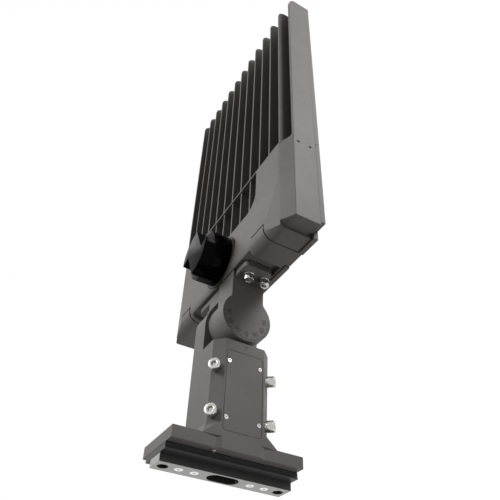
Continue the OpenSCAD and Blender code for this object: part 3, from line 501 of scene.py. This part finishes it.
def seat(obj: bpy.types.Object, material: bpy.types.Material, body: Body, slot: str,
         *replaced: str) -> None:
    """Finishes a new piece: material, body and the nodes that it stands for.

    Args:
        obj: The piece.
        material: Its finish.
        body: The body that it rides on.
        slot: The record's slot; not used.
        replaced: Nodes that it replaces.
    """
    settle(obj)
    obj.data.materials.clear()
    obj.data.materials.append(material)
    if replaced:
        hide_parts(*replaced)
    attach(obj, body.value)
    log.info("%s: %d faces, rides on %s", obj.name, len(obj.data.polygons), body.value)


# ------------------------------------------------------------------ pieces


@dataclass(frozen=True)
class SocketScrew:
    """A hexagon-socket cap screw with a turned head, head up and seat at its origin."""

    head_r: float
    head_h: float
    shank_r: float
    shank_l: float
    # Corner radius of the hexagon socket.
    key: float
    # Depth of the socket, as a share of the head's height.
    socket: float = 0.6
    # Rounding of the head and chamfer of the shank's end.
    edge: float = 0.5

    def rod(self, sides: int, radius: float, depth: float, middle: float) -> bpy.types.Object:
        """Adds a prism or cylinder on the screw's axis.

        Args:
            sides: Number of its side faces.
            radius: Its radius.
            depth: Its height.
            middle: Height of its middle.

        Returns:
            The settled object.
        """
        deselect()
        bpy.ops.mesh.primitive_cylinder_add(vertices=sides, radius=radius * MM,
                                            depth=depth * MM, location=(0, 0, middle * MM))
        rod = current()
        settle(rod)
        return rod

    def model(self, name: str) -> bpy.types.Object:
        """Models the screw once, for copying.

        Args:
            name: The mesh's name.

        Returns:
            The screw at the origin, pointing up.
        """
        head = self.rod(48, self.head_r, self.head_h, self.head_h / 2)
        hexagon = self.rod(6, self.key, self.head_h, self.head_h * (1.5 - self.socket))
        apply_modifier(head, "BOOLEAN", operation="DIFFERENCE", object=hexagon, solver="EXACT")
        bpy.data.objects.remove(hexagon)
        round_edges(head, self.edge, 2, 50)
        shank = self.rod(32, self.shank_r, self.shank_l, -self.shank_l / 2)
        round_edges(shank, self.edge, 1, 50)
        screw = join([head, shank], name)
        smooth(screw, 35)
        return screw


@dataclass
class PoleMount:
    """The bar, rail, gasket and screws between the pole and the arm."""

    # A face counts as cut where its normal is this close to the direction of the cut.
    cut_limit: float = 0.9

    def build(self, finish: Finishes) -> None:
        """Dresses the nodes of the mount."""
        # The bar's long sides get the rail's near black as painted shade; its cut faces are bare.
        dress(finish.rail, "pole_bar", "adapter_rail")
        dress(finish.rubber, "flange_gasket")
        dress(finish.zinc, "bar_screws")
        dress(finish.steel, "lock_screw")
        self.show_cuts("pole_bar", finish.bar)

    def show_cuts(self, node: str, bare: bpy.types.Material) -> None:
        """Shows bare metal on the bar's milled pole face and sawn ends; the long sides keep the
        near-black finish as painted shade.

        Args:
            node: The bar.
            bare: Finish of the cut faces.
        """
        mesh = bpy.data.objects[node].data
        mesh.materials.append(bare)
        for face in mesh.polygons:
            if face.normal.x < -self.cut_limit or abs(face.normal.z) > self.cut_limit:
                face.material_index = 1


@dataclass
class Arm:
    """The cast arm with its wiring cover and clamp bolts."""

    clamp_x: tuple[float, float] = (52.1, 104.0)
    clamp_face: float = 44.12
    washer: float = 2.0
    screw: SocketScrew = SocketScrew(6.48, 8.0, 4.0, 14.6, 3.44)

    def build(self, finish: Finishes) -> None:
        """Dresses the nodes and models the clamp bolts."""
        dress(finish.coat, "arm_body", "wiring_cover")
        dress(finish.rubber, "cover_gasket", "knuckle_seal")
        dress(finish.steel, "cover_screws", "clamp_washers")
        master = self.screw.model("clamp_screw")
        lift = Matrix.Translation((0, 0, (self.clamp_face + self.washer) * MM))
        copies = []
        for x in self.clamp_x:
            for side in (-1, 1):
                turn = Euler((math.radians(90 + 45 * side), 0, 0)).to_matrix().to_4x4()
                copies.append(copy_at(master, Matrix.Translation((x * MM, 0, 0)) @ turn @ lift))
        bpy.data.objects.remove(master)
        seat(join(copies, "clamp_screws"), finish.steel, Body.ARM, "stainless", "clamp_bolts")


@dataclass
class TiltScale:
    """Degree marks and numbers round the pole side of the knuckle's drum, dark as painted shade
    of engraved marks.
    """

    pivot_x: float = 177.0
    face_y: float = -37.8
    # Radius that the marks' outer ends reach.
    mark_r: float = 31.2
    mark_w: float = 0.8
    long_mark: float = 4.2
    short_mark: float = 2.4
    number_r: float = 23.8
    number_size: float = 8.4
    # Thickening of the numbers' strokes.
    number_weight: float = 0.12
    # How far marks and numbers stand out of the face.
    proud: float = 0.12
    # The scale's reach, and degrees between marks, long marks and numbers.
    reach: int = 90
    mark_step: int = 5
    long_step: int = 15
    number_step: int = 30

    def place(self, degrees: float, radius: float) -> Matrix:
        """Gives a place on the drum's face, with text upright from outside the drum.

        Args:
            degrees: Angle from the pole direction towards the fins' side.
            radius: Distance from the tilt axis.

        Returns:
            The place, with its own +Y pointing at the axis and its +Z out of the face.
        """
        angle = math.radians(degrees)
        out = Vector((-math.cos(angle), 0, math.sin(angle)))
        normal = Vector((0, -1, 0))
        up = -out
        right = up.cross(normal)
        turn = Matrix((right, up, normal)).transposed().to_4x4()
        spot = Vector((self.pivot_x * MM, self.face_y * MM, 0)) + out * radius * MM
        return Matrix.Translation(spot) @ turn

    def mark(self, degrees: int) -> bpy.types.Object:
        """Models one mark.

        Args:
            degrees: Its angle.

        Returns:
            The mark at its place.
        """
        length = self.long_mark if degrees % self.long_step == 0 else self.short_mark
        deselect()
        bpy.ops.mesh.primitive_cube_add(size=1)
        mark = current()
        mark.data.transform(
            Matrix.Diagonal((self.mark_w * MM, length * MM, 2 * self.proud * MM, 1)))
        mark.matrix_world = self.place(degrees, self.mark_r - length / 2)
        return mark

    def number(self, degrees: int) -> bpy.types.Object:
        """Models one number.

        Args:
            degrees: Its angle.

        Returns:
            The number's mesh at its place.
        """
        deselect()
        bpy.ops.object.text_add()
        text = current().data
        text.body = str(abs(degrees))
        text.size = self.number_size * MM
        text.extrude = self.proud * MM
        text.offset = self.number_weight * MM
        text.align_x = "CENTER"
        text.align_y = "CENTER"
        text.resolution_u = 3
        bpy.ops.object.convert(target="MESH")
        number = current()
        number.matrix_world = self.place(degrees, self.number_r)
        return number

    def build(self, finish: Finishes) -> None:
        """Models the scale as one piece."""
        parts = [self.mark(turn) for turn in range(-self.reach, self.reach + 1, self.mark_step)]
        parts += [self.number(turn)
                  for turn in range(-self.reach, self.reach + 1, self.number_step)]
        # The marks and numbers are dark as painted shade of engraved marks.
        seat(join(parts, "tilt_scale"), finish.ink, Body.HEAD, "powder_coat")


@dataclass
class Knuckle:
    """The bracket with its drum, the tilt bolt and the bolts into the head."""

    # Half the distance between the bolts across the foot, and up and down it.
    span: float = 48.5
    rise: float = 10.5
    mid_z: float = -5.0
    seat_x: float = 230.4
    # Each bolt's socket stands a little differently.
    socket_turn: float = 17.0
    screw: SocketScrew = SocketScrew(6.48, 8.0, 3.8, 20.0, 3.4)

    def build(self, finish: Finishes) -> None:
        """Dresses the nodes, models the bracket's bolts and the scale."""
        dress(finish.coat, "head_bracket")
        dress(finish.steel, "tilt_bolt", "tilt_washer", "bracket_washers")
        dress(finish.rubber, "bracket_gasket")
        master = self.screw.model("bracket_screw")
        turn = Euler((0, math.radians(-90), 0)).to_matrix().to_4x4()
        copies = []
        for side in (-1, 1):
            for level in (-1, 1):
                spot = Vector((self.seat_x, side * self.span,
                               self.mid_z + level * self.rise)) * MM
                spin = math.radians(self.socket_turn * (side + 2 * level))
                copies.append(copy_at(master, Matrix.Translation(spot)
                                      @ Matrix.Rotation(spin, 4, "X") @ turn))
        bpy.data.objects.remove(master)
        seat(join(copies, "bracket_screws"), finish.steel, Body.HEAD, "stainless",
             "bracket_bolts")
        TiltScale().build(finish)


@dataclass
class Head:
    """The cast housing with its fins, the door, the latches and what is inside."""

    def build(self, finish: Finishes) -> None:
        """Dresses the nodes of the head."""
        dress(finish.housing_coat, "housing")
        dress(finish.coat, "lens_frame", "driver_door", "latch_near", "latch_far")
        dress(finish.rubber, "door_gasket", "lens_gasket")
        dress(finish.steel, "frame_screws", "hinge_pins", "latch_pins", "driver_screws",
              "block_screws", "board_screws")
        dress(finish.case, "led_driver")
        dress(finish.nylon_black, "surge_protector")
        dress(finish.nylon_white, "terminal_block")


@dataclass
class LightEngine:
    """The boards, the LEDs with their domes, and the glass."""

    dome_r: float = 3.0
    dome_h: float = 2.0
    rows: int = 5
    columns: int = 9
    pitch_y: float = 28.0
    # Gap between the two boards.
    board_gap: float = 6.0

    def dome(self) -> bpy.types.Object:
        """Models one dome, round side down.

        Returns:
            The dome, with its flat face at the origin.
        """
        deselect()
        bpy.ops.mesh.primitive_uv_sphere_add(segments=10, ring_count=6, radius=self.dome_r * MM)
        dome = current()
        bpy.ops.object.mode_set(mode="EDIT")
        bpy.ops.mesh.select_all(action="SELECT")
        bpy.ops.mesh.bisect(plane_co=(0, 0, 0), plane_no=(0, 0, 1), use_fill=True,
                            clear_outer=True)
        bpy.ops.object.mode_set(mode="OBJECT")
        dome.data.transform(Matrix.Diagonal((1, 1, self.dome_h / self.dome_r, 1)))
        smooth(dome, 50)
        return dome

    def build(self, finish: Finishes) -> None:
        """Dresses the nodes and models the domes."""
        dress(finish.mask, "led_boards")
        dress(finish.silicone, "leds")
        dress(finish.glass, "lens")
        low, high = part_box("led_boards")
        gap = self.board_gap * MM
        width = (high[0] - low[0] - gap) / 2
        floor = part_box("leds")[0][2]
        master = self.dome()
        copies = []
        for board in (0, 1):
            start = low[0] + board * (width + gap)
            for row in range(self.rows):
                for column in range(self.columns):
                    spot = (start + width * (row + 0.5) / self.rows,
                            (column - (self.columns - 1) / 2) * self.pitch_y * MM, floor)
                    copies.append(copy_at(master, Matrix.Translation(spot)))
        bpy.data.objects.remove(master)
        seat(join(copies, "led_domes"), finish.silicone, Body.HEAD, "led_yellow")


@dataclass
class TwistLockCap:
    """The shorting cap on its receptacle. Heights are over the cap's foot."""

    axis_x: float = 278.0
    foot_z: float = 24.3
    height: float = 37.5
    radius: float = 34.3
    edge: float = 0.9
    grip_h: float = 12.0
    # Inner corner of a finger hollow, from the cap's axis, and the turn of its long wall.
    hollow_corner: tuple[float, float] = (-5.0, -20.0)
    hollow_turn: float = 24.7
    # Radius and height of the bores inside the skirt and over the receptacle's core.
    skirt_bore: tuple[float, float] = (33.2, 5.0)
    core_bore: tuple[float, float] = (25.5, 15.6)
    # Locating rib on the pole side: its size, the radius it reaches and its rounding.
    rib: tuple[float, float, float] = (2.6, 2.6, 36.5)
    rib_reach: float = 36.0
    rib_edge: float = 0.4

    def cylinder(self, radius: float, low: float, high: float) -> bpy.types.Object:
        """Adds a cylinder on the cap's axis.

        Args:
            radius: Its radius.
            low: Height of its lower end.
            high: Height of its upper end.

        Returns:
            The cylinder.
        """
        deselect()
        middle = self.foot_z + (low + high) / 2
        bpy.ops.mesh.primitive_cylinder_add(
            vertices=96, radius=radius * MM, depth=(high - low) * MM,
            location=(self.axis_x * MM, 0, middle * MM))
        obj = current()
        settle(obj)
        return obj

    def block(self, size: tuple[float, float, float],
              middle: tuple[float, float, float]) -> bpy.types.Object:
        """Adds a block near the cap's axis.

        Args:
            size: Its three sides.
            middle: Its middle, from the axis at the cap's foot.

        Returns:
            The block.
        """
        deselect()
        bpy.ops.mesh.primitive_cube_add(size=1)
        obj = current()
        obj.data.transform(Matrix.Diagonal((size[0] * MM, size[1] * MM, size[2] * MM, 1)))
        obj.location = ((self.axis_x + middle[0]) * MM, middle[1] * MM,
                        (self.foot_z + middle[2]) * MM)
        settle(obj)
        return obj

    def hollow(self, turn: float) -> bpy.types.Object:
        """Adds the cutter of one finger hollow.

        Args:
            turn: Turn about the cap's axis, in degrees.

        Returns:
            The cutter.
        """
        # Twice the cap's radius, so that the cutter clears its far side.
        side = 70.0
        cutter = self.block((side, side, 2 * self.grip_h), (0, 0, self.height))
        corner_x, corner_y = self.hollow_corner
        steps = (Matrix.Translation((-self.axis_x * MM, 0, 0)),
                 Matrix.Translation((side / 2 * MM, -side / 2 * MM, 0)),
                 Matrix.Rotation(math.radians(self.hollow_turn), 4, "Z"),
                 Matrix.Translation((corner_x * MM, corner_y * MM, 0)),
                 Matrix.Rotation(math.radians(turn), 4, "Z"),
                 Matrix.Translation((self.axis_x * MM, 0, 0)))
        for step in steps:
            cutter.data.transform(step)
        return cutter

    def model(self) -> bpy.types.Object:
        """Models the cap: a round body with two finger hollows, a rib and a hollow foot.

        Returns:
            The cap.
        """
        body = self.cylinder(self.radius, 0, self.height)
        bores = [self.cylinder(radius, -1, top) for radius, top in (self.skirt_bore,
                                                                    self.core_bore)]
        for cutter in [self.hollow(0), self.hollow(180), *bores]:
            apply_modifier(body, "BOOLEAN", operation="DIFFERENCE", object=cutter,
                           solver="EXACT")
            bpy.data.objects.remove(cutter)
        rib = self.block(self.rib, (self.rib[0] / 2 - self.rib_reach, 0, self.height / 2))
        round_edges(body, self.edge, 3, 40)
        round_edges(rib, self.rib_edge, 3, 40)
        cap = join([body, rib], "cap_with_finger_hollows")
        smooth(cap, 35)
        return cap

    def build(self, finish: Finishes) -> None:
        """Models the cap and dresses its receptacle."""
        dress(finish.brass, "cap_blades")
        dress(finish.nylon_black, "cap_receptacle")
        dress(finish.rubber, "receptacle_gasket")
        dress(finish.steel, "receptacle_screws")
        seat(self.model(), finish.cap, Body.CAP, "black_plastic", "shorting_cap")


# ------------------------------------------------------------------ studio


@dataclass
class Lamp:
    """One soft area lamp: place, target and size in metres, power in watts."""

    name: str
    place: tuple[float, float, float]
    target: tuple[float, float, float]
    size: tuple[float, float]
    power: float

    def build(self) -> None:
        """Adds the lamp, aimed at its target."""
        data = bpy.data.lights.new(self.name, "AREA")
        data.shape = "RECTANGLE"
        data.size, data.size_y = self.size
        data.energy = self.power
        lamp = bpy.data.objects.new(self.name, data)
        aim = Vector(self.target) - Vector(self.place)
        turn = aim.to_track_quat("-Z", "Y").to_matrix().to_4x4()
        lamp.matrix_world = Matrix.Translation(self.place) @ turn
        bpy.context.collection.objects.link(lamp)


@dataclass
class Studio:
    """Pale floor, soft lamps, white surroundings and the camera."""

    floor_z: float = -1.2
    ambient: float = 0.08
    floor_size: float = 12.0
    # The floor as the camera sees it: share and strength of plain white, so that it reaches
    # white, while the rest of it is matt and keeps the object's shadow.
    floor_white: tuple[float, float] = (0.9, 1.12)
    # Camera found from the outline of the object: place, view axis and picture's up axis.
    eye: tuple[float, float, float] = (-0.192777, -0.513479, 0.259294)
    view: tuple[float, float, float] = (0.65952079, 0.65984327, -0.36005442)
    up: tuple[float, float, float] = (0.75106102, -0.55892359, 0.3514424)
    focal_px: float = 551.38
    frame_px: int = 500
    sensor_mm: float = 36.0
    lamps: tuple[Lamp, ...] = (
        Lamp("head_softbox", (1.15, -1.05, -0.35), (0.70, -0.16, 0.0), (0.5, 0.5), 13.0),
        Lamp("arm_softbox", (-0.35, -0.75, -0.45), (0.06, -0.04, 0.0), (0.35, 0.35), 0.3),
        Lamp("pole_softbox", (-0.95, -0.45, -0.70), (0.28, -0.12, 0.0), (0.5, 0.5), 4.3),
        Lamp("overhead_softbox", (0.75, 0.25, 1.35), (0.35, 0.0, 0.0), (0.9, 0.9), 18.5),
    )

    def camera(self) -> None:
        """Sets up the camera."""
        data = bpy.data.cameras.new("camera")
        data.sensor_fit = "HORIZONTAL"
        data.sensor_width = self.sensor_mm
        data.lens = self.sensor_mm * self.focal_px / self.frame_px
        data.clip_start = 0.01
        data.clip_end = 50
        camera = bpy.data.objects.new("camera", data)
        back = -Vector(self.view).normalized()
        up = Vector(self.up).normalized()
        right = up.cross(back)
        turn = Matrix((right, up, back)).transposed().to_4x4()
        camera.matrix_world = Matrix.Translation(self.eye) @ turn
        bpy.context.collection.objects.link(camera)
        bpy.context.scene.camera = camera

    def surroundings(self) -> None:
        """Makes the world: white where it is seen or mirrored, softer as light."""
        world = bpy.data.worlds.new("studio")
        bpy.context.scene.world = world
        world.use_nodes = True
        tree = world.node_tree
        tree.nodes.clear()
        path = add_node(tree, "ShaderNodeLightPath")
        seen = backdrop_share(tree, path)
        level = add_node(tree, "ShaderNodeMapRange",
                         {"To Min": self.ambient, "To Max": 1.0}, {"Value": seen})
        sky = add_node(tree, "ShaderNodeBackground", {"Color": (1, 1, 1, 1)},
                       {"Strength": level.outputs["Result"]})
        out = add_node(tree, "ShaderNodeOutputWorld")
        tree.links.new(sky.outputs["Background"], out.inputs["Surface"])

    def floor(self) -> None:
        """Lays the pale floor."""
        deselect()
        bpy.ops.mesh.primitive_plane_add(size=self.floor_size, location=(0.3, 0, self.floor_z))
        floor = current()
        floor.name = "studio_floor"
        material, tree, out = start_material("pale_floor_paint")
        path = add_node(tree, "ShaderNodeLightPath")
        share = add_node(tree, "ShaderNodeMath", {"operation": "MULTIPLY"})
        tree.links.new(backdrop_share(tree, path), share.inputs[0])
        share.inputs[1].default_value = self.floor_white[0]
        matt = add_node(tree, "ShaderNodeBsdfDiffuse", {"Color": linear("f4f4f4")})
        white = add_node(tree, "ShaderNodeEmission",
                         {"Color": (1, 1, 1, 1), "Strength": self.floor_white[1]})
        mix = add_node(tree, "ShaderNodeMixShader", links={"Fac": share.outputs["Value"]})
        tree.links.new(matt.outputs["BSDF"], mix.inputs[1])
        tree.links.new(white.outputs["Emission"], mix.inputs[2])
        tree.links.new(mix.outputs["Shader"], out.inputs["Surface"])
        floor.data.materials.append(material)

    def build(self) -> None:
        """Sets up the whole studio."""
        self.camera()
        self.surroundings()
        self.floor()
        for lamp in self.lamps:
            lamp.build()
        bpy.context.scene.view_settings.view_transform = "Standard"


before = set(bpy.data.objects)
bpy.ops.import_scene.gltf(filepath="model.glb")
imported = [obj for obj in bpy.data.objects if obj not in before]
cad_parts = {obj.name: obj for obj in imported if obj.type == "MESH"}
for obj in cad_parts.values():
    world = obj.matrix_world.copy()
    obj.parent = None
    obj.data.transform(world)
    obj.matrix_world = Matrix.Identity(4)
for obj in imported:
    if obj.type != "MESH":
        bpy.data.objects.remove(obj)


def main() -> None:
    """Dresses the light, piece by piece, and sets up the studio."""
    logging.basicConfig(level=logging.INFO, format="%(message)s")
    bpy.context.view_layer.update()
    Studio().build()
    finish = Finishes()
    for assembly in (PoleMount(), Arm(), Knuckle(), Head(), LightEngine(), TwistLockCap()):
        assembly.build(finish)
    deselect()


if __name__ == "__main__":
    main()
